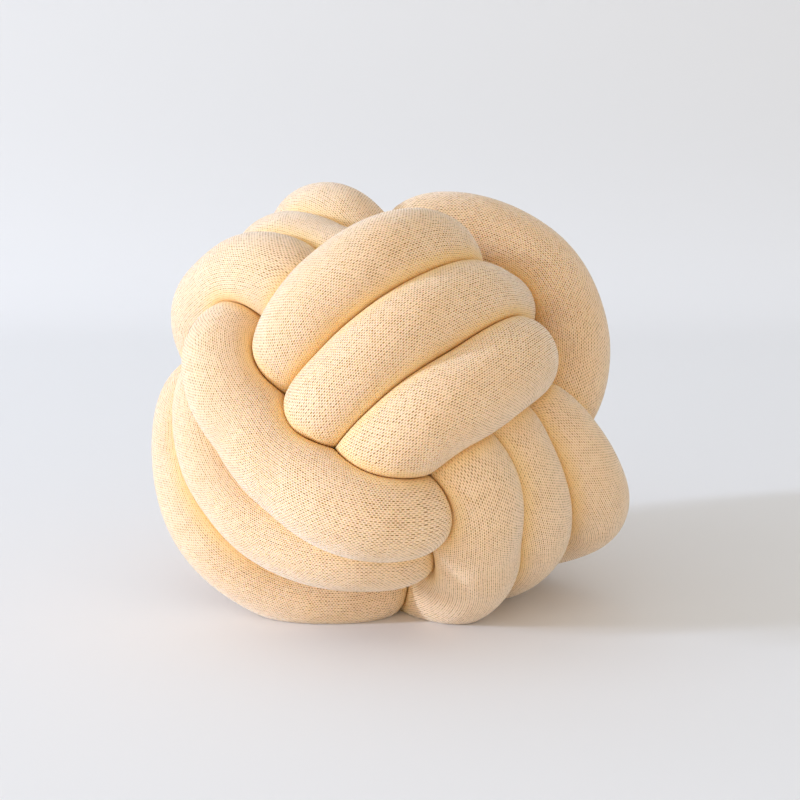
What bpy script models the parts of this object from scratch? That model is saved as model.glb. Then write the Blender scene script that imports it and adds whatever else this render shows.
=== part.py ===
"""Knot cushion: one long stuffed knit tube tied into a ball knot with three turns in each ring.

The tube makes three loops round each of three crossing rings, so that each of the six faces of
the ball shows three strands side by side. Its two ends are sewn together inside the ball.
"""
import math

import bmesh
import bpy
import numpy as np
from mathutils import Matrix

# Driving sizes, in metres
TUBE = 0.050  # width of the stuffed tube where nothing presses on it
SEAM_GAP = 0.003  # left between strands that press on each other
FLOOR_DEPTH = 2.60 * TUBE  # from the middle of the knot down to what it rests on

# The mesh
RINGS = 416  # cross-sections along the tube
SIDES = 12  # points round each cross-section

# How the ball stands, in degrees: spin in the front face, lean back, then turn to the side
FACE_SPIN = 33.5
FACE_LEAN = 55.0
FACE_TURN = 11.5

# The regular knot, in tube widths from the middle of the ball. A strand crosses a face at CREST,
# bends at SHOULDER and dives at TURN (along, height), and passes the core at LEG.
CREST = 2.60
SHOULDER = (0.85, 2.30)
TURN = (1.48, 1.45)
LANES = (1, 0, -1)
LANE_ON_FACE = 0.92
LANE_AT_TURN = 0.80
SHOULDER_SHARE = 0.60  # how far a shoulder follows the changes at its turn, not those midway
LEG = (1.05, 1.40, 1.05)
LANE_OF_LEG = 0.50
LANE_BETWEEN_TURNS = 0.35
CORE_CROSSING = (-0.95, -0.75, -0.50)

# The faces that each ring of the knot crosses, going out on the first and back on the second.
# The columns are the axes along the strand, across it and out of the face.
RING_FACES = (
    ("front", "back", (0, 1, 2)),
    ("right", "left", (1, 2, 0)),
    ("top", "bottom", (2, 0, 1)),
)

# How each strand on a face differs from the regular knot, in tube widths: how much longer it is
# at its start and end, how far it lies to the side there and midway, and how far it bulges out.
COLUMNS = ("start", "end", "start_side", "mid_side", "end_side", "bulge")
STRANDS = {
    ("front", 0): (-0.40, -0.40, 0.15, 0.00, -0.30, -0.10),
    ("front", 1): (0.00, -0.40, -0.05, 0.10, 0.05, -0.15),
    ("front", 2): (-0.10, -0.55, 0.15, 0.00, 0.10, -0.30),
    ("back", 0): (-0.30, 0.00, -0.20, -0.10, -0.05, 0.10),
    ("back", 1): (0.10, 0.20, 0.00, 0.00, 0.05, 0.10),
    ("back", 2): (-0.30, 0.20, 0.05, -0.05, 0.10, 0.10),
    ("right", 0): (-0.10, 0.00, -0.45, -0.25, -0.15, -0.10),
    ("right", 1): (-0.20, 0.10, -0.30, -0.10, -0.20, -0.10),
    ("right", 2): (0.10, -0.20, 0.00, -0.15, -0.15, -0.10),
    ("left", 0): (0.20, 0.00, 0.10, 0.30, 0.85, -0.60),
    ("left", 1): (0.20, 0.10, -0.10, 0.10, 0.70, -0.20),
    ("left", 2): (0.40, 0.15, -0.05, 0.20, 0.10, 0.15),
    ("top", 0): (0.60, -0.70, -0.20, -0.20, -0.15, 0.10),
    ("top", 1): (0.05, -0.25, 0.00, 0.05, -0.10, -0.15),
    ("top", 2): (0.35, -0.05, -0.10, -0.15, 0.40, -0.15),
    ("bottom", 0): (-0.50, 0.20, 0.05, 0.25, -0.30, 0.05),
    ("bottom", 1): (-0.05, 0.20, 0.05, 0.10, -0.20, -0.15),
    ("bottom", 2): (0.10, 0.10, 0.35, 0.20, -0.20, -0.30),
}

# Half the width that a strand keeps from its neighbours, in tube widths
REACH_ON_FACE = 0.465
REACH_AT_TURN = 0.433
REACH_IN_CORE = 0.385
FULLNESS = 0.05  # the free tube is this much wider than the reach

# Smoothing the route into a curve
SPAN_POWER = 0.75
SPAN_STEPS = 24

# Pressing the strands together, in shares of a move for each round
SETTLE_POINTS = 450
SETTLE_ROUNDS = 160
PUSH = 0.30
STIFFNESS = 0.15
TENSION = 0.12
HOLD = 0.25
NEIGHBOUR_SPAN = 1.6  # along the tube, points nearer than this never count as touching
FLOOR_DENT = 0.03

# The skin, in tube widths unless a share
FAR = 9.0  # stands for no limit at all
TOUCH_DISTANCE = 1.3  # middles further apart than this never touch
BEND_SHARE = 0.90  # how near the inside of a bend may come to the middle of the bend
BEND_SPAN = 0.60  # along the tube, how far from a bend that limit holds
SMALL = 1e-6
CORNER_POWER = 8.0  # how crisply round turns into flat where strands touch
SKIN_ROUNDS = 6
AREA_KEPT = 0.97
AREA_STEP = (0.80, 1.50)
GROWTH = (0.90, 1.22)
GROWTH_BLUR = 19  # cross-sections over which the growth is evened out

KNIT_COLOUR = (0.86, 0.68, 0.43, 1.0)
KNIT_ROUGHNESS = 0.90


def route_of_knot():
    """The points that the strand passes, in tube widths, with its reach and hold at each."""
    points, reach, hold = [], [], []

    def add(axes, along, across, out, point_reach, point_hold):
        point = np.zeros(3)
        point[list(axes)] = along, across, out
        points.append(point)
        reach.append(point_reach)
        hold.append(point_hold)

    def cross_face(axes, face, turn, way):
        row = dict(zip(COLUMNS, STRANDS[face, turn]))
        lane = LANES[turn] * LANE_ON_FACE
        turn_lane = LANES[turn] * LANE_AT_TURN
        mid_share = 1 - SHOULDER_SHARE
        start_side = lane + SHOULDER_SHARE * row["start_side"] + mid_share * row["mid_side"]
        end_side = lane + SHOULDER_SHARE * row["end_side"] + mid_share * row["mid_side"]
        start_along = SHOULDER[0] + SHOULDER_SHARE * row["start"]
        end_along = SHOULDER[0] + SHOULDER_SHARE * row["end"]
        middle = mid_share * (row["end"] - row["start"])
        dive = way * TURN[1]
        shoulder = way * (SHOULDER[1] + SHOULDER_SHARE * row["bulge"])
        crest = way * (CREST + row["bulge"])
        add(axes, -way * (TURN[0] + row["start"]), turn_lane + row["start_side"], dive, REACH_AT_TURN, 1)
        add(axes, -way * start_along, start_side, shoulder, REACH_ON_FACE, 1)
        add(axes, way * middle, lane + row["mid_side"], crest, REACH_ON_FACE, 1)
        add(axes, way * end_along, end_side, shoulder, REACH_ON_FACE, 1)
        add(axes, way * (TURN[0] + row["end"]), turn_lane + row["end_side"], dive, REACH_AT_TURN, 1)

    for out_face, back_face, axes in RING_FACES:
        for turn, lane in enumerate(LANES):
            cross_face(axes, out_face, turn, 1)
            add(axes, LEG[turn], lane * LANE_OF_LEG, 0, REACH_IN_CORE, 0)
            cross_face(axes, back_face, turn, -1)
            if turn < 2:
                between = LANE_BETWEEN_TURNS * (LANES[turn] + LANES[turn + 1])
                add(axes, -LEG[turn], between, 0, REACH_IN_CORE, 0)
            else:
                add(axes, *CORE_CROSSING, REACH_IN_CORE, 0)
    return np.array(points), np.array(reach), np.array(hold, float)


def closed_curve(points, count, *values):
    """A smooth closed curve through the points, in even steps, with values carried along it."""
    size = len(points)
    following = np.roll(points, -1, axis=0)
    span = np.linalg.norm(following - points, axis=1) ** SPAN_POWER
    slope = (following - points) / span[:, None]
    system = np.zeros((size, size))
    for i in range(size):
        system[i, i - 1] += span[i - 1]
        system[i, i] += 2 * (span[i - 1] + span[i])
        system[i, (i + 1) % size] += span[i]
    bend = np.linalg.solve(system, 6 * (slope - np.roll(slope, 1, axis=0)))
    next_bend = np.roll(bend, -1, axis=0)

    t = (np.arange(SPAN_STEPS) / SPAN_STEPS)[None, :, None] * span[:, None, None]
    start_slope = slope - span[:, None] * (2 * bend + next_bend) / 6
    twist = (next_bend - bend) / (6 * span[:, None])
    fine = points[:, None] + start_slope[:, None] * t + bend[:, None] / 2 * t**2 + twist[:, None] * t**3
    fine = fine.reshape(-1, 3)

    loop = np.vstack([fine, fine[:1]])
    length = np.concatenate([[0], np.cumsum(np.linalg.norm(np.diff(loop, axis=0), axis=1))])
    at = np.linspace(0, length[-1], count, endpoint=False)
    curve = np.stack([np.interp(at, length, loop[:, k]) for k in range(3)], axis=1)
    place = np.interp(at, length, np.arange(size * SPAN_STEPS + 1) / SPAN_STEPS)
    carried = [np.interp(place, np.arange(size + 1), np.append(v, v[0])) for v in values]
    return curve, *carried


def steps_apart(size):
    """How many steps lie between each two points of a closed curve, the shorter way round."""
    index = np.arange(size)
    apart = np.abs(index[:, None] - index[None])
    return np.minimum(apart, size - apart)


def press_together(line, reach, hold, down):
    """Moves the strands until they lie against each other and on the floor."""
    start = line.copy()
    room = reach[:, None] + reach[None]
    apart = steps_apart(len(line))
    for _ in range(SETTLE_ROUNDS):
        step = np.linalg.norm(np.roll(line, -1, 0) - line, axis=1).mean()
        between = line[:, None] - line[None]
        distance = np.sqrt((between**2).sum(-1))
        touching = (apart * step > NEIGHBOUR_SPAN) & (distance < room)
        overlap = np.where(touching, room - distance, 0)
        push = ((overlap / np.maximum(distance, SMALL))[:, :, None] * between).sum(1)
        push *= overlap.max(1)[:, None] / np.maximum(np.linalg.norm(push, axis=1)[:, None], SMALL)
        sunk = np.maximum(0, line @ down + reach - FLOOR_DENT - FLOOR_DEPTH / TUBE)
        curl = (np.roll(line, 1, 0) + np.roll(line, -1, 0)) / 2 - line
        curl_change = (np.roll(curl, 1, 0) + np.roll(curl, -1, 0)) / 2 - curl
        line = line + PUSH * push - STIFFNESS * curl_change + TENSION * curl
        line += HOLD * hold[:, None] ** 2 * (start - line) - PUSH * sunk[:, None] * down
    return line


def carried_frames(line):
    """The direction of the strand at each point, and two directions across it without twist."""
    ahead = np.roll(line, -1, 0) - np.roll(line, 1, 0)
    ahead /= np.linalg.norm(ahead, axis=1)[:, None]
    side = np.zeros_like(line)
    before = np.cross(ahead[0], (0, 0, 1))
    for i, direction in enumerate(ahead):
        before = before - direction * (before @ direction)
        before /= np.linalg.norm(before)
        side[i] = before
    closing = before - ahead[0] * (before @ ahead[0])
    turn = math.atan2(closing @ np.cross(ahead[0], side[0]), closing @ side[0])
    angle = -turn * np.arange(len(line)) / len(line)
    up = np.cross(ahead, side)
    side = side * np.cos(angle)[:, None] + up * np.sin(angle)[:, None]
    return ahead, side, np.cross(ahead, side)


def way_to_plane(distance, toward):
    """How long a spoke is where it meets a plane, or FAR if it leads away from the plane."""
    return np.where(toward > SMALL, distance / np.maximum(toward, SMALL), FAR)


def room_round(line, spokes, radius):
    """How far each spoke of each cross-section may reach before it meets another strand.

    Inside a bend it stops short of the middle of the bend, where the skin would fold over itself.
    """
    size = len(line)
    step = np.linalg.norm(np.roll(line, -1, 0) - line, axis=1).mean()
    apart = steps_apart(size) * step > NEIGHBOUR_SPAN
    half_gap = SEAM_GAP / TUBE / 2
    room = np.full(spokes.shape[:2], FAR)
    for i in range(size):
        to_other = line - line[i]
        distance = np.linalg.norm(to_other, axis=1)
        near = apart[i] & (distance < TOUCH_DISTANCE)
        if near.any():
            share = radius[i] / (radius[i] + radius[near])
            plane = share * distance[near] - half_gap
            toward = spokes[i] @ (to_other[near] / distance[near][:, None]).T
            room[i] = way_to_plane(plane, toward).min(1)
    curl = (np.roll(line, 1, 0) + np.roll(line, -1, 0) - 2 * line) / step**2
    reach = round(BEND_SPAN / step)
    for shift in range(-reach, reach + 1):
        inward = np.einsum("isk,ik->is", spokes, np.roll(curl, shift, 0))
        room = np.minimum(room, way_to_plane(BEND_SHARE, inward))
    return room


def skin_of_tube(line, radius, down, sides):
    """The points of the skin: round where the tube is free, flat where it meets what it touches.

    Where neighbours take room away, the cross-section grows elsewhere to keep most of its area.
    """
    _, side, up = carried_frames(line)
    angle = np.arange(sides) * 2 * math.pi / sides
    spokes = side[:, None] * np.cos(angle)[None, :, None] + up[:, None] * np.sin(angle)[None, :, None]
    room = room_round(line, spokes, radius)
    above_floor = FLOOR_DEPTH / TUBE - line @ down
    to_floor = way_to_plane(above_floor[:, None], spokes @ down)

    blur = np.hanning(GROWTH_BLUR) / np.hanning(GROWTH_BLUR).sum()
    margin = GROWTH_BLUR // 2
    grow = np.ones(len(line))
    for _ in range(SKIN_ROUNDS):
        free = (radius * grow)[:, None]
        length = (free**-CORNER_POWER + room**-CORNER_POWER) ** (-1 / CORNER_POWER)
        length = np.minimum(length, to_floor)
        share = (length**2).mean(1) / radius**2
        grow = np.clip(grow * np.sqrt(np.clip(AREA_KEPT / share, *AREA_STEP)), *GROWTH)
        grow = np.convolve(np.concatenate([grow[-margin:], grow, grow[:margin]]), blur, "valid")
    return line[:, None] + spokes * length[:, :, None]


def standing():
    """Turns the knot's own axes to how the ball stands, with its front toward -Y."""
    spin = Matrix.Rotation(math.radians(FACE_SPIN), 3, "Z")
    lean = Matrix.Rotation(math.radians(FACE_LEAN), 3, "X")
    turn = Matrix.Rotation(math.radians(FACE_TURN), 3, "Z")
    return np.array(turn @ lean @ spin)


def knit_material():
    material = bpy.data.materials.new("knit")
    material.use_nodes = True
    shader = material.node_tree.nodes["Principled BSDF"]
    shader.inputs["Base Color"].default_value = KNIT_COLOUR
    shader.inputs["Roughness"].default_value = KNIT_ROUGHNESS
    shader.inputs["Metallic"].default_value = 0.0
    material.diffuse_color = KNIT_COLOUR
    return material


def knotted_tube():
    """The whole tube as one closed mesh, its lowest flats at z = 0 and its box centred on the origin."""
    turned = standing()
    down = -turned[2]
    points, reach, hold = route_of_knot()
    line, reach, hold = closed_curve(points, SETTLE_POINTS, reach, hold)
    line = press_together(line, reach, hold, down)
    line, reach = closed_curve(line, RINGS, reach)
    skin = skin_of_tube(line, reach + FULLNESS, down, SIDES) * TUBE @ turned.T
    low, high = skin.min((0, 1)), skin.max((0, 1))
    skin -= ((low[0] + high[0]) / 2, (low[1] + high[1]) / 2, low[2])

    shape = bmesh.new()
    rings = [[shape.verts.new(point) for point in ring] for ring in skin]
    for i, ring in enumerate(rings):
        following = rings[(i + 1) % RINGS]
        for j in range(SIDES):
            k = (j + 1) % SIDES
            shape.faces.new((ring[j], ring[k], following[k], following[j]))
    bmesh.ops.recalc_face_normals(shape, faces=shape.faces)
    mesh = bpy.data.meshes.new("knotted_tube")
    shape.to_mesh(mesh)
    shape.free()
    mesh.shade_smooth()
    mesh.materials.append(knit_material())
    tube = bpy.data.objects.new("knotted_tube", mesh)
    bpy.context.collection.objects.link(tube)
    return tube


for old in list(bpy.data.objects):
    bpy.data.objects.remove(old)
knotted_tube()
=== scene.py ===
"""Knot cushion: the looks of one long stuffed knit tube, tied into a ball knot.

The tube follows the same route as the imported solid, with a finer skin and tighter seams. Its knit
is a procedural material, laid out in columns of stitches round the tube and in courses
(rows of stitches) along it. The skin is cut into its strands inside the ball, where no cut shows.
"""
import math

import bpy
import numpy as np
from mathutils import Matrix, Vector


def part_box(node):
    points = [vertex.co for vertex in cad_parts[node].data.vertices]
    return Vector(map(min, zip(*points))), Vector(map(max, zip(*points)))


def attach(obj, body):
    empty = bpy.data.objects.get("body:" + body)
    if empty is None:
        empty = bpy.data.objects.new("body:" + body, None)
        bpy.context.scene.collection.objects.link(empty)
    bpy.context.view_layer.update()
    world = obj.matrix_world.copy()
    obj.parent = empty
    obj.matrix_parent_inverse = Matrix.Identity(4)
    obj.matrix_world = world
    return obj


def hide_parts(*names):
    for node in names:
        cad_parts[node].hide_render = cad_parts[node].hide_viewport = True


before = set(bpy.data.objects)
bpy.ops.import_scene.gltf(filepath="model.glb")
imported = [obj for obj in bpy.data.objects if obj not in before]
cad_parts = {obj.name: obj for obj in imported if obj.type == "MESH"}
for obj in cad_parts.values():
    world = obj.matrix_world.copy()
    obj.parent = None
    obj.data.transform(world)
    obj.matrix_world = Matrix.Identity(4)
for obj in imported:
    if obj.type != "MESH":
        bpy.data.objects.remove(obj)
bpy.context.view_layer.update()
NODE = "knotted_tube"

# Driving sizes of the tube, in metres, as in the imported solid
TUBE = 0.050  # about the width of the stuffed tube where nothing presses on it
FLOOR_DEPTH = 2.60 * TUBE  # from the middle of the knot down to what it rests on
SEAM_GAP = 0.0001  # left between strands that press on each other

# The mesh
RINGS = 2880  # cross-sections along the tube
SIDES = 96  # points round each cross-section

# The knit
COLUMNS_ROUND = 140  # columns of dark openings round the tube, two to each stitch, so always even
COURSE = 0.0016  # height of a stitch along the tube
STRETCHED = {"strand_right_1": 1.25, "strand_bottom_3": 0.90}  # stitch heights there, in COURSE
COLUMNS_TURNED = 96  # how many columns the knit turns round the tube over its whole length
GROOVE_REACH = 0.28  # in tube widths, how far from another strand the knit still looks pressed, and how far the painted shade of the grooves reaches

# The openings between the stitches, as shares of a column's or a stitch's half size, and of full depth.
# The depth sets both their relief and how dark their painted shade is.
OPENING_ACROSS = (0.9, 0.1)  # where an opening ends and where it is full, across its column
OPENING_ALONG = (0.9, 0.3)  # and along it
DEPTH_BETWEEN = 0.1  # between two openings of one column
DEPTH_LEAST = 0.55  # the shallowest opening
DEPTH_MOST = 1.15  # and the deepest
DEPTH_EVERY_OTHER = 0.75  # what is left of the depth in every other column
DEPTH_IN_GROOVE = 0.4  # and where strands press together

# The yarn
YARN = (0.95, 0.69, 0.455, 1.0)
YARN_WARM = (0.93, 0.65, 0.40, 1.0)  # in soft patches
GROOVE_PAINTED_SHADE = (0.96, 0.65, 0.28, 1.0)  # painted warm shade in the grooves where strands press together
OPENING_PAINTED_SHADE = (0.26, 0.13, 0.015, 1.0)  # painted shade down in the openings
WARM_RANGE = (0.35, 0.7)  # the noise over which the warm patches come in
WARM_SHARE = 0.6
SHEEN = 0.65  # the light on the yarn's fine hairs
SHEEN_END = 0.8  # how pressed the knit is where the sheen is gone
YARN_SURFACE = {  # the same all over
    "Roughness": 0.9,
    "Specular IOR Level": 0.15,
    "Sheen Roughness": 0.5,
    "Sheen Tint": (1.0, 0.97, 0.94, 1.0),
    "Subsurface Weight": 0.5,
    "Subsurface Radius": (1.0, 0.75, 0.4),
    "Subsurface Scale": 0.012,
}

# The relief of the filling's soft lumps and of the stitches. The lumps lie where the warm patches do.
NOISE = {"Scale": 45.0, "Detail": 3.0}
LUMPS = {"Strength": 0.6, "Distance": 0.002}
STITCHES = {"Strength": 0.7, "Distance": 0.0005}

# The flat layout of a strand's skin: its two halves side by side, and its two end caps above them
BAKE_MARGIN = 0.004  # left free at both sides of each half, as a share of its width
BAKE_TOP = 0.96  # where the halves end
CAP_HEIGHT = (1 - BAKE_TOP) / 3
CAP_BASES = (BAKE_TOP + 0.5 * CAP_HEIGHT, BAKE_TOP + 1.75 * CAP_HEIGHT)

# How the ball stands, in degrees: spin in the front face, lean back, then turn to the side
FACE_SPIN = 33.5
FACE_LEAN = 55.0
FACE_TURN = 11.5

# The regular knot, in tube widths from the middle of the ball. A strand crosses a face at CREST,
# bends at SHOULDER and dives at TURN (along, height), and passes the core at LEG.
CREST = 2.60
SHOULDER = (0.85, 2.30)
TURN = (1.48, 1.45)
LANES = (1, 0, -1)  # the three strands of a ring, side by side
LANE_ON_FACE = 0.92  # from one lane to the next, midway over a face
LANE_AT_TURN = 0.80  # and where the strands dive
SHOULDER_SHARE = 0.60  # how far a shoulder follows the changes at its turn, not those midway
LEG = (1.05, 1.40, 1.05)
LANE_OF_LEG = 0.50  # from one lane to the next, in the core
LANE_BETWEEN_TURNS = 0.35  # how far to the side the leg from one lane to the next lies
CORE_CROSSING = (-0.95, -0.75, -0.50)  # where the tube goes from one ring over to the next
STOPS_EACH = 6  # points of the route for each strand: five on its face and one in the core

# The faces that each ring of the knot crosses, going out on the first and back on the second.
# The columns are the axes along the strand, across it and out of the face.
RING_FACES = (
    ("front", "back", (0, 1, 2)),
    ("right", "left", (1, 2, 0)),
    ("top", "bottom", (2, 0, 1)),
)

# How each strand on a face differs from the regular knot, in tube widths: how much longer it is
# at its start and end, how far it lies to the side there and midway, and how far it bulges out.
COLUMNS = ("start", "end", "start_side", "mid_side", "end_side", "bulge")
STRANDS = {
    ("front", 0): (-0.40, -0.40, 0.15, 0.00, -0.30, -0.10),
    ("front", 1): (0.00, -0.40, -0.05, 0.10, 0.05, -0.15),
    ("front", 2): (-0.10, -0.55, 0.15, 0.00, 0.10, -0.30),
    ("back", 0): (-0.30, 0.00, -0.20, -0.10, -0.05, 0.10),
    ("back", 1): (0.10, 0.20, 0.00, 0.00, 0.05, 0.10),
    ("back", 2): (-0.30, 0.20, 0.05, -0.05, 0.10, 0.10),
    ("right", 0): (-0.10, 0.00, -0.45, -0.25, -0.15, -0.10),
    ("right", 1): (-0.20, 0.10, -0.30, -0.10, -0.20, -0.10),
    ("right", 2): (0.10, -0.20, 0.00, -0.15, -0.15, -0.10),
    ("left", 0): (0.20, 0.00, 0.10, 0.30, 0.85, -0.60),
    ("left", 1): (0.20, 0.10, -0.10, 0.10, 0.70, -0.20),
    ("left", 2): (0.40, 0.15, -0.05, 0.20, 0.10, 0.15),
    ("top", 0): (0.60, -0.70, -0.20, -0.20, -0.15, 0.10),
    ("top", 1): (0.05, -0.25, 0.00, 0.05, -0.10, -0.15),
    ("top", 2): (0.35, -0.05, -0.10, -0.15, 0.40, -0.15),
    ("bottom", 0): (-0.50, 0.20, 0.05, 0.25, -0.30, 0.05),
    ("bottom", 1): (-0.05, 0.20, 0.05, 0.10, -0.20, -0.15),
    ("bottom", 2): (0.10, 0.10, 0.35, 0.20, -0.20, -0.30),
}

# Half the width that a strand keeps from its neighbours, in tube widths
REACH_ON_FACE = 0.465
REACH_AT_TURN = 0.433
REACH_IN_CORE = 0.385
FULLNESS = 0.05  # the free tube's radius is this much more than its reach

# Smoothing the route into a curve
SPAN_POWER = 0.75  # how strongly a longer span between two points counts
SPAN_STEPS = 24  # steps of the curve in each span

# Pressing the strands together, in shares of a move for each round
SETTLE_POINTS = 450
SETTLE_ROUNDS = 160
PUSH = 0.30  # away from a strand or a floor that lies too near
STIFFNESS = 0.15  # toward an even bend
TENSION = 0.12  # toward a shorter tube
HOLD = 0.25  # back toward the route
NEIGHBOUR_SPAN = 1.6  # along the tube, points nearer than this never count as touching
FLOOR_DENT = 0.03  # how far the reach goes below the floor, so that the skin lies flat on it

# The skin, in tube widths unless a share
FAR = 9.0  # stands for no limit at all
SMALL = 1e-6  # keeps a division away from nothing
TOUCH_DISTANCE = 1.3  # middles further apart than this never touch
BEND_SHARE = 0.90  # how near the inside of a bend may come to the middle of the bend
BEND_SPAN = 0.60  # along the tube, how far from a bend that limit holds
CORNER_POWER = 28.0  # how crisply round turns into flat where strands touch
SKIN_ROUNDS = 6
AREA_KEPT = 0.97  # share of the free tube's area that a pressed cross-section grows toward
AREA_STEP = (0.80, 1.50)  # least and most that the area may change in one round, as a factor
GROWTH = (0.90, 1.22)  # least and most width, as a factor of the free tube's
GROWTH_SPAN = 6.0  # along the tube, the length over which the growth is evened out

# The camera
CAMERA_DISTANCE = 22 * TUBE
CAMERA_HEIGHT = 13.0  # degrees above the middle of the ball
SENSOR_WIDTH = 36.0  # millimetres, like the lens
LENS = 75.4
SHIFT = (0.008, 0.003)

# The floor and the wall, in metres from the point of the floor under the middle of the ball
FLOOR_FRONT = 3.0
BEND_START = 0.90
BEND_RADIUS = 0.60
BEND_STEPS = 24
WALL_TOP = 3.0
HALF_WIDTH = 4.0
PAPER = (0.82, 0.83, 0.845, 1)
# the same paper on the wall, darker: painted shade
PAPER_SHADED = (0.70, 0.695, 0.685, 1)
WALL_SHADE_FADE = (1.0, 1.5)  # how far back the floor starts and ends darkening into the painted shade of the wall
PAPER_SURFACE = {"Roughness": 0.9, "Specular IOR Level": 0.2}

# The light of the room, and the soft lights aimed at the ball. A light's columns are its turn from
# the left toward the front and its rise, in degrees, its distance, its size, its power and its colour.
ROOM_COLOUR = (1.0, 0.96, 0.90, 1)
ROOM_STRENGTH = 0.73
LIGHTS = {
    "key": (12, 12, 8.0, (0.5, 1.2), 565, (0.67, 0.78, 1.0)),
    "side": (45, 8, 3.0, (1.5, 2.0), 11, (1.0, 1.0, 1.0)),
    "high": (12, 38, 3.0, (1.5, 1.5), 9, (0.75, 0.82, 1.0)),
    "front": (80, 1.5, 2.5, (2.5, 0.3), 10, (1.0, 0.84, 0.65)),
    "right": (130, 3, 2.5, (1.5, 0.6), 2, (1.0, 0.88, 0.75)),
}


# ---------------------------------------------------------------- the route and the skin


def route_of_knot():
    """The points that the tube passes, in tube widths, with its reach and hold at each."""
    points, reach, hold = [], [], []

    def add(axes, along, across, out, point_reach, point_hold):
        point = np.zeros(3)
        point[list(axes)] = along, across, out
        points.append(point)
        reach.append(point_reach)
        hold.append(point_hold)

    def cross_face(axes, face, turn, way):
        row = dict(zip(COLUMNS, STRANDS[face, turn]))
        lane = LANES[turn] * LANE_ON_FACE
        turn_lane = LANES[turn] * LANE_AT_TURN
        mid_share = 1 - SHOULDER_SHARE
        start_side = lane + SHOULDER_SHARE * row["start_side"] + mid_share * row["mid_side"]
        end_side = lane + SHOULDER_SHARE * row["end_side"] + mid_share * row["mid_side"]
        start_along = SHOULDER[0] + SHOULDER_SHARE * row["start"]
        end_along = SHOULDER[0] + SHOULDER_SHARE * row["end"]
        middle = mid_share * (row["end"] - row["start"])
        dive = way * TURN[1]
        shoulder = way * (SHOULDER[1] + SHOULDER_SHARE * row["bulge"])
        crest = way * (CREST + row["bulge"])
        add(axes, -way * (TURN[0] + row["start"]), turn_lane + row["start_side"], dive, REACH_AT_TURN, 1)
        add(axes, -way * start_along, start_side, shoulder, REACH_ON_FACE, 1)
        add(axes, way * middle, lane + row["mid_side"], crest, REACH_ON_FACE, 1)
        add(axes, way * end_along, end_side, shoulder, REACH_ON_FACE, 1)
        add(axes, way * (TURN[0] + row["end"]), turn_lane + row["end_side"], dive, REACH_AT_TURN, 1)

    for out_face, back_face, axes in RING_FACES:
        for turn, lane in enumerate(LANES):
            cross_face(axes, out_face, turn, 1)
            add(axes, LEG[turn], lane * LANE_OF_LEG, 0, REACH_IN_CORE, 0)
            cross_face(axes, back_face, turn, -1)
            if turn < len(LANES) - 1:
                between = LANE_BETWEEN_TURNS * (LANES[turn] + LANES[turn + 1])
                add(axes, -LEG[turn], between, 0, REACH_IN_CORE, 0)
            else:
                add(axes, *CORE_CROSSING, REACH_IN_CORE, 0)
    return np.array(points), np.array(reach), np.array(hold, float)


def step_lengths(line):
    """How long each step of a closed curve is, from each point to the next."""
    return np.linalg.norm(np.roll(line, -1, 0) - line, axis=1)


def closed_curve(points, count, *values):
    """A smooth closed curve through the points, in even steps, with values carried along it."""
    size = len(points)
    # A cubic spline: bend is its second derivative at each point
    span = step_lengths(points) ** SPAN_POWER
    slope = (np.roll(points, -1, axis=0) - points) / span[:, None]
    system = np.zeros((size, size))
    for i in range(size):
        system[i, i - 1] += span[i - 1]
        system[i, i] += 2 * (span[i - 1] + span[i])
        system[i, (i + 1) % size] += span[i]
    bend = np.linalg.solve(system, 6 * (slope - np.roll(slope, 1, axis=0)))
    next_bend = np.roll(bend, -1, axis=0)

    t = (np.arange(SPAN_STEPS) / SPAN_STEPS)[None, :, None] * span[:, None, None]
    start_slope = slope - span[:, None] * (2 * bend + next_bend) / 6
    twist = (next_bend - bend) / (6 * span[:, None])
    fine = points[:, None] + start_slope[:, None] * t + bend[:, None] / 2 * t**2 + twist[:, None] * t**3
    fine = fine.reshape(-1, 3)

    loop = np.vstack([fine, fine[:1]])
    length = np.concatenate([[0], np.cumsum(np.linalg.norm(np.diff(loop, axis=0), axis=1))])
    at = np.linspace(0, length[-1], count, endpoint=False)
    curve = np.stack([np.interp(at, length, loop[:, k]) for k in range(3)], axis=1)
    place = np.interp(at, length, np.arange(size * SPAN_STEPS + 1) / SPAN_STEPS)
    carried = [np.interp(place, np.arange(size + 1), np.append(v, v[0])) for v in values]
    return curve, place, *carried


def steps_apart(first, second, size):
    """How many steps lie between points of a closed curve, the shorter way round."""
    apart = np.abs(first - second)
    return np.minimum(apart, size - apart)


def press_together(line, reach, hold, down):
    """Moves the strands until they lie against each other and on the floor."""
    start = line.copy()
    room = reach[:, None] + reach[None]
    index = np.arange(len(line))
    apart = steps_apart(index[:, None], index[None], len(line))
    for _ in range(SETTLE_ROUNDS):
        step = step_lengths(line).mean()
        between = line[:, None] - line[None]
        distance = np.sqrt((between**2).sum(-1))
        touching = (apart * step > NEIGHBOUR_SPAN) & (distance < room)
        overlap = np.where(touching, room - distance, 0)
        push = ((overlap / np.maximum(distance, SMALL))[:, :, None] * between).sum(1)
        push *= overlap.max(1)[:, None] / np.maximum(np.linalg.norm(push, axis=1)[:, None], SMALL)
        sunk = np.maximum(0, line @ down + reach - FLOOR_DENT - FLOOR_DEPTH / TUBE)
        curl = (np.roll(line, 1, 0) + np.roll(line, -1, 0)) / 2 - line
        curl_change = (np.roll(curl, 1, 0) + np.roll(curl, -1, 0)) / 2 - curl
        line = line + PUSH * push - STIFFNESS * curl_change + TENSION * curl
        line += HOLD * hold[:, None] ** 2 * (start - line) - PUSH * sunk[:, None] * down
    return line


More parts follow.
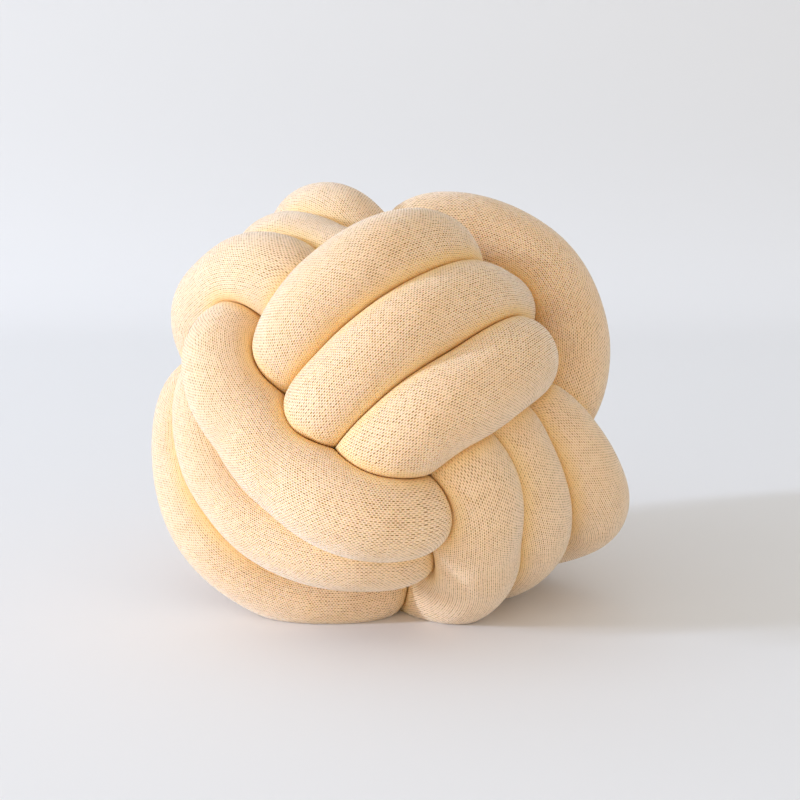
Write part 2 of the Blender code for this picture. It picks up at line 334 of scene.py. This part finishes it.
def carried_frames(line):
    """The direction of the tube at each point, and two directions across it without twist."""
    ahead = np.roll(line, -1, 0) - np.roll(line, 1, 0)
    ahead /= np.linalg.norm(ahead, axis=1)[:, None]
    side = np.zeros_like(line)
    before = np.cross(ahead[0], (0, 0, 1))
    for i, direction in enumerate(ahead):
        before = before - direction * (before @ direction)
        before /= np.linalg.norm(before)
        side[i] = before
    closing = before - ahead[0] * (before @ ahead[0])
    turn = math.atan2(closing @ np.cross(ahead[0], side[0]), closing @ side[0])
    angle = -turn * np.arange(len(line)) / len(line)
    up = np.cross(ahead, side)
    side = side * np.cos(angle)[:, None] + up * np.sin(angle)[:, None]
    return ahead, side, np.cross(ahead, side)


def way_to_plane(distance, toward):
    """How long a spoke is where it meets a plane, or FAR if it leads away from the plane."""
    return np.where(toward > SMALL, distance / np.maximum(toward, SMALL), FAR)


def strands_near(line, i, step):
    """Which points of the line belong to other strands that pass close to the given point."""
    apart = steps_apart(np.arange(len(line)), i, len(line)) * step > NEIGHBOUR_SPAN
    return apart & (np.linalg.norm(line - line[i], axis=1) < TOUCH_DISTANCE)


def room_round(line, spokes, radius):
    """How far each spoke of each cross-section may reach before it meets another strand.

    Inside a bend it stops short of the middle of the bend, where the skin would fold over itself.
    """
    step = step_lengths(line).mean()
    half_gap = SEAM_GAP / TUBE / 2
    room = np.full(spokes.shape[:2], FAR)
    for i in range(len(line)):
        near = strands_near(line, i, step)
        if near.any():
            to_other = line[near] - line[i]
            distance = np.linalg.norm(to_other, axis=1)
            share = radius[i] / (radius[i] + radius[near])
            toward = spokes[i] @ (to_other / distance[:, None]).T
            room[i] = way_to_plane(share * distance - half_gap, toward).min(1)
    curl = (np.roll(line, 1, 0) + np.roll(line, -1, 0) - 2 * line) / step**2
    reach = round(BEND_SPAN / step)
    for shift in range(-reach, reach + 1):
        inward = np.einsum("isk,ik->is", spokes, np.roll(curl, shift, 0))
        room = np.minimum(room, way_to_plane(BEND_SHARE, inward))
    return room


def press_and_shade_round(line, skin, radius):
    """One where the skin touches another strand, fading to nothing at GROOVE_REACH from it.

    Every other point of the other strands is near enough for this.
    """
    step = step_lengths(line).mean()
    press_and_shade = np.zeros(skin.shape[:2])
    for i in range(len(line)):
        near = np.flatnonzero(strands_near(line, i, step))[::2]
        if len(near):
            away = np.linalg.norm(skin[i][:, None] - line[near][None], axis=2) - radius[near]
            press_and_shade[i] = 1 - np.clip(away.min(1) / GROOVE_REACH, 0, 1)
    return press_and_shade


def skin_of_tube(line, radius, down, sides):
    """The points of the skin: round where the tube is free, flat where it meets what it touches.

    Where neighbours take room away, the cross-section grows elsewhere to keep most of its area.
    """
    _, side, up = carried_frames(line)
    angle = np.arange(sides) * 2 * math.pi / sides
    spokes = side[:, None] * np.cos(angle)[None, :, None] + up[:, None] * np.sin(angle)[None, :, None]
    room = room_round(line, spokes, radius)
    above_floor = FLOOR_DEPTH / TUBE - line @ down
    to_floor = way_to_plane(above_floor[:, None], spokes @ down)

    margin = round(GROWTH_SPAN / step_lengths(line).mean() / 2)
    blur = np.hanning(2 * margin + 1)
    blur /= blur.sum()
    grow = np.ones(len(line))
    for _ in range(SKIN_ROUNDS):
        free = (radius * grow)[:, None]
        length = (free**-CORNER_POWER + room**-CORNER_POWER) ** (-1 / CORNER_POWER)
        length = np.minimum(length, to_floor)
        share = (length**2).mean(1) / radius**2
        grow = np.clip(grow * np.sqrt(np.clip(AREA_KEPT / share, *AREA_STEP)), *GROWTH)
        grow = np.convolve(np.concatenate([grow[-margin:], grow, grow[:margin]]), blur, "valid")
    return line[:, None] + spokes * length[:, :, None]


def standing():
    """Turns the knot's own axes to how the ball stands, with its front toward -Y."""
    spin = Matrix.Rotation(math.radians(FACE_SPIN), 3, "Z")
    lean = Matrix.Rotation(math.radians(FACE_LEAN), 3, "X")
    turn = Matrix.Rotation(math.radians(FACE_TURN), 3, "Z")
    return np.array(turn @ lean @ spin)


def make_skin():
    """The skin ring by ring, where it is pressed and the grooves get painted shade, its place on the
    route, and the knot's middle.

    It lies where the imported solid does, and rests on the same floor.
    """
    turned = standing()
    down = -turned[2]
    points, reach, hold = route_of_knot()
    line, place, reach, hold = closed_curve(points, SETTLE_POINTS, reach, hold)
    line = press_together(line, reach, hold, down)
    line, _, reach, place = closed_curve(line, RINGS, reach, place)
    skin = skin_of_tube(line, reach + FULLNESS, down, SIDES)
    press_and_shade = press_and_shade_round(line, skin, reach + FULLNESS)
    skin = skin * TUBE @ turned.T
    low, high = skin.min((0, 1)), skin.max((0, 1))
    node_low, node_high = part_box(NODE)
    middle = (np.array(node_low) + np.array(node_high) - low - high) / 2
    middle[2] = node_low.z - low[2]
    return skin + middle, press_and_shade, place, middle


# ---------------------------------------------------------------- the materials


class Nodes:
    """Builds a material's node tree with short calls."""

    def __init__(self, tree):
        self.tree = tree

    def join(self, value, socket):
        """Links the value if it is another node's output, and otherwise sets the socket to it."""
        if isinstance(value, bpy.types.NodeSocket):
            self.tree.links.new(value, socket)
        else:
            socket.default_value = value

    def add(self, kind, inputs=(), **settings):
        """A new node, with its settings and with its inputs set or linked."""
        node = self.tree.nodes.new(kind)
        for key, value in settings.items():
            setattr(node, key, value)
        for key, value in dict(inputs).items():
            self.join(value, node.inputs[key])
        return node

    def math(self, operation, *values):
        """The result of one step of arithmetic."""
        node = self.add("ShaderNodeMath", dict(enumerate(values)), operation=operation)
        return node.outputs[0]

    def ramp(self, value, low, high, to_low=0.0, to_high=1.0, kind="SMOOTHSTEP"):
        """Maps the value from one range to another, and holds it there past both ends."""
        inputs = {"Value": value, "From Min": low, "From Max": high, "To Min": to_low, "To Max": to_high}
        return self.add("ShaderNodeMapRange", inputs, interpolation_type=kind).outputs[0]

    def mix(self, share, first, second):
        """The first colour where the share is nothing, and the second where it is one."""
        node = self.add("ShaderNodeMix", data_type="RGBA")
        # The node has sockets for every type of data: these are the factor's and the colours'
        self.join(share, node.inputs[0])
        self.join(first, node.inputs[6])
        self.join(second, node.inputs[7])
        return node.outputs[2]

    def fold(self, value):
        """Nothing at the middle of each whole step of the value, and one at its edges."""
        return self.math("ABSOLUTE", self.math("MULTIPLY_ADD", self.math("FRACT", value), 2.0, -1.0))


def new_material(name, surface):
    """A material with the shader's even values set, its node builder, and its shader's inputs."""
    material = bpy.data.materials.new(name)
    material.use_nodes = True
    inputs = material.node_tree.nodes["Principled BSDF"].inputs
    for key, value in surface.items():
        inputs[key].default_value = value
    return material, Nodes(material.node_tree), inputs


def knit_material():
    """Jersey: columns of small openings, sunk as a relief and darkened with painted shade, each set off
    by half a stitch from the next.
    """
    material, n, shader = new_material("knit", YARN_SURFACE)

    uv = n.add("ShaderNodeUVMap", uv_map="knit").outputs[0]
    split = n.add("ShaderNodeSeparateXYZ", {0: uv})
    across, course = split.outputs[0], split.outputs[1]
    column = n.math("FLOOR", across)
    odd = n.math("PINGPONG", column, 1.0)
    row = n.math("MULTIPLY_ADD", odd, 0.5, course)
    stitch = n.add("ShaderNodeCombineXYZ", {0: column, 1: n.math("FLOOR", row)}).outputs[0]
    each = n.add("ShaderNodeTexWhiteNoise", {"Vector": stitch}, noise_dimensions="2D").outputs[0]

    place = n.add("ShaderNodeTexCoord").outputs["Object"]
    uneven = n.add("ShaderNodeTexNoise", {**NOISE, "Vector": place}).outputs[0]
    pressed_and_shaded = n.add("ShaderNodeAttribute", attribute_name="pressed_and_shaded").outputs["Fac"]

    line = n.ramp(n.fold(across), *OPENING_ACROSS)
    hole = n.ramp(n.fold(row), *OPENING_ALONG)
    opening = n.math("MULTIPLY", line, n.ramp(hole, 0.0, 1.0, DEPTH_BETWEEN, 1.0, "LINEAR"))
    depth = n.ramp(each, 0.0, 1.0, DEPTH_LEAST, DEPTH_MOST, "LINEAR")
    depth = n.math("MULTIPLY", depth, n.ramp(odd, 0.0, 1.0, 1.0, DEPTH_EVERY_OTHER))
    depth = n.math("MULTIPLY", depth, n.ramp(pressed_and_shaded, 0.0, 1.0, 1.0, DEPTH_IN_GROOVE))
    shade = n.math("MULTIPLY", opening, depth)

    colour = n.mix(n.ramp(uneven, *WARM_RANGE, 0.0, WARM_SHARE), YARN, YARN_WARM)
    # painted shade: near another strand the knit turns the deeper gold of the shade in the groove
    colour = n.mix(pressed_and_shaded, colour, GROOVE_PAINTED_SHADE)
    # painted shade: the openings darken toward the shade inside them
    colour = n.mix(shade, colour, OPENING_PAINTED_SHADE)
    n.join(colour, shader["Base Color"])
    yarn_above = n.math("SUBTRACT", 1.0, shade)
    sheen = n.math("MULTIPLY", yarn_above, n.ramp(pressed_and_shaded, 0.0, SHEEN_END, SHEEN, 0.0))
    n.join(sheen, shader["Sheen Weight"])

    lumps = n.add("ShaderNodeBump", {**LUMPS, "Height": uneven}).outputs[0]
    stitches = n.add("ShaderNodeBump", {**STITCHES, "Height": yarn_above, "Normal": lumps}).outputs[0]
    n.join(stitches, shader["Normal"])
    return material


def paper_material():
    """A pale paper that darkens softly toward the back, with painted shade on the wall."""
    material, n, shader = new_material("paper", PAPER_SURFACE)
    place = n.add("ShaderNodeTexCoord").outputs["Object"]
    back = n.add("ShaderNodeSeparateXYZ", {0: place}).outputs[1]
    n.join(n.mix(n.ramp(back, *WALL_SHADE_FADE), PAPER, PAPER_SHADED), shader["Base Color"])
    return material


# ---------------------------------------------------------------- the strands


def strand_names():
    """A name for each strand in the order of the route: its face, and its number there."""
    names = []
    for out_face, back_face, _ in RING_FACES:
        for turn in range(len(LANES)):
            names += [f"strand_{out_face}_{turn + 1}", f"strand_{back_face}_{turn + 1}"]
    return names


def cap_faces(count, sides):
    """The triangles that close the two ends. Their tips are the two points after the skin's."""
    around = np.arange(sides)
    following = (around + 1) % sides
    last = (count - 1) * sides
    tip = np.full(sides, count * sides)
    start = np.stack([following, around, tip], -1)
    end = np.stack([last + around, last + following, tip + 1], -1)
    return start.tolist() + end.tolist()


def cap_layout(sides):
    """The flat layout of the two end caps: a row of teeth for each."""
    around = np.arange(sides)
    teeth = np.stack([around, around + 1, around + 0.5], -1) / sides
    rows = []
    for base, corners in zip(CAP_BASES, ([1, 0, 2], [0, 1, 2])):
        height = np.broadcast_to(base + CAP_HEIGHT * np.array([0, 0, 1]), teeth.shape)
        rows.append(np.stack([teeth[:, corners], height], -1).reshape(-1, 2))
    return np.vstack(rows)


def add_layer(mesh, name, across, along, caps):
    """Gives the mesh flat coordinates: those of its skin's corners, and then those of its caps."""
    skin = np.stack([across, along], -1).reshape(-1, 2)
    layer = mesh.uv_layers.new(name=name)
    layer.uv.foreach_set("vector", np.vstack([skin, caps]).astype(np.float32).ravel())


def make_strand(name, rings, press_and_shade, rows, columns, material):
    """One strand as a closed mesh.

    Its knit coordinates count columns and courses: rows and columns give the first, and how many
    more there are at the strand's end.
    """
    count, sides = rings.shape[:2]
    ring, side, _ = np.indices((count - 1, sides, 4))
    ring_corner = ring + np.array([0, 0, 1, 1])
    side_corner = side + np.array([0, 1, 1, 0])
    faces = (ring_corner * sides + side_corner % sides).reshape(-1, 4)
    points = np.vstack([rings.reshape(-1, 3), rings[[0, -1]].mean(1)])
    mesh = bpy.data.meshes.new(name)
    mesh.from_pydata(points.tolist(), [], faces.tolist() + cap_faces(count, sides))

    along = ring_corner / (count - 1)
    column = side_corner / sides * COLUMNS_ROUND + columns[0] + along * columns[1]
    half = ring * 2 // (count - 1)
    bake_across = (half + BAKE_MARGIN + side_corner / sides * (1 - 2 * BAKE_MARGIN)) / 2
    caps = cap_layout(sides)
    add_layer(mesh, "knit", column, rows[0] + along * rows[1], np.zeros_like(caps))
    add_layer(mesh, "OFBake", bake_across, BAKE_TOP * (2 * along - half), caps)
    # nearness to another strand: it presses the knit and carries the painted shade of the grooves
    pressed_and_shaded = mesh.attributes.new("pressed_and_shaded", "FLOAT", "POINT")
    pressed_and_shaded.data.foreach_set("value", np.append(press_and_shade.ravel(), (1, 1)).astype(np.float32))

    mesh.shade_smooth()
    mesh.materials.append(material)
    strand = bpy.data.objects.new(name, mesh)
    bpy.context.collection.objects.link(strand)
    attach(strand, "root")
    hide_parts(NODE)


def make_tube():
    """Makes the skin, cuts it into its strands in the core, and returns the middle of the knot."""
    skin, press_and_shade, place, middle = make_skin()
    material = knit_material()
    names = strand_names()
    # A strand ends at the last of its stops, in the core, and the first one starts where the last ends
    cuts = [int(np.argmax(place > STOPS_EACH * (i + 1) - 1)) for i in range(len(names))]
    rows_per_ring = round(step_lengths(skin.mean(1)).sum() / COURSE) / RINGS
    columns_per_ring = COLUMNS_TURNED / RINGS
    for i, name in enumerate(names):
        start = cuts[i - 1] - (RINGS if i == 0 else 0)
        ring = np.arange(start, cuts[i] + 1)
        steps = len(ring) - 1
        rows = (start * rows_per_ring, steps * rows_per_ring / STRETCHED.get(name, 1))
        columns = (start * columns_per_ring, steps * columns_per_ring)
        make_strand(name, skin[ring % RINGS], press_and_shade[ring % RINGS], rows, columns, material)
    return Vector(middle)


# ---------------------------------------------------------------- the room


def make_camera(middle):
    """A camera in front of the ball, a little above it, that looks at its middle."""
    data = bpy.data.cameras.new("camera")
    data.lens = LENS
    data.sensor_width = SENSOR_WIDTH
    data.shift_x, data.shift_y = SHIFT
    camera = bpy.data.objects.new("camera", data)
    bpy.context.collection.objects.link(camera)
    rise = math.radians(CAMERA_HEIGHT)
    camera.location = middle + Vector((0, -math.cos(rise), math.sin(rise))) * CAMERA_DISTANCE
    camera.rotation_euler = (math.pi / 2 - rise, 0, 0)
    bpy.context.scene.camera = camera


def make_floor():
    """A pale floor that turns up into a pale wall in one soft curve."""
    profile = [(-FLOOR_FRONT, 0.0), (BEND_START, 0.0)]
    for k in range(1, BEND_STEPS + 1):
        angle = k / BEND_STEPS * math.pi / 2
        profile.append((BEND_START + BEND_RADIUS * math.sin(angle), BEND_RADIUS * (1 - math.cos(angle))))
    profile.append((BEND_START + BEND_RADIUS, WALL_TOP))
    points = [(x, y, z) for y, z in profile for x in (-HALF_WIDTH, HALF_WIDTH)]
    faces = [(2 * i, 2 * i + 1, 2 * i + 3, 2 * i + 2) for i in range(len(profile) - 1)]
    mesh = bpy.data.meshes.new("floor")
    mesh.from_pydata(points, [], faces)
    mesh.shade_smooth()
    mesh.materials.append(paper_material())
    floor = bpy.data.objects.new("floor", mesh)
    bpy.context.collection.objects.link(floor)


def make_light(name, turn, rise, distance, size, power, colour):
    """A soft light aimed at the ball, from the left by a turn to the front and a rise, in degrees."""
    data = bpy.data.lights.new(name, "AREA")
    data.shape = "RECTANGLE"
    data.size, data.size_y = size
    data.energy = power
    data.color = colour
    light = bpy.data.objects.new(name, data)
    bpy.context.collection.objects.link(light)
    turn, rise = math.radians(turn), math.radians(rise)
    away = Vector((-math.cos(turn) * math.cos(rise), -math.sin(turn) * math.cos(rise), math.sin(rise)))
    light.location = Vector((0, 0, FLOOR_DEPTH)) + away * distance
    light.rotation_euler = away.to_track_quat("Z", "Y").to_euler()


def make_lights():
    """The even light of the room, and the soft lights in it."""
    world = bpy.data.worlds.new("room")
    world.use_nodes = True
    background = world.node_tree.nodes["Background"]
    background.inputs["Color"].default_value = ROOM_COLOUR
    background.inputs["Strength"].default_value = ROOM_STRENGTH
    bpy.context.scene.world = world
    for name, values in LIGHTS.items():
        make_light(name, *values)


middle = make_tube()
make_camera(middle)
make_floor()
make_lights()
bpy.context.scene.view_settings.view_transform = "Standard"
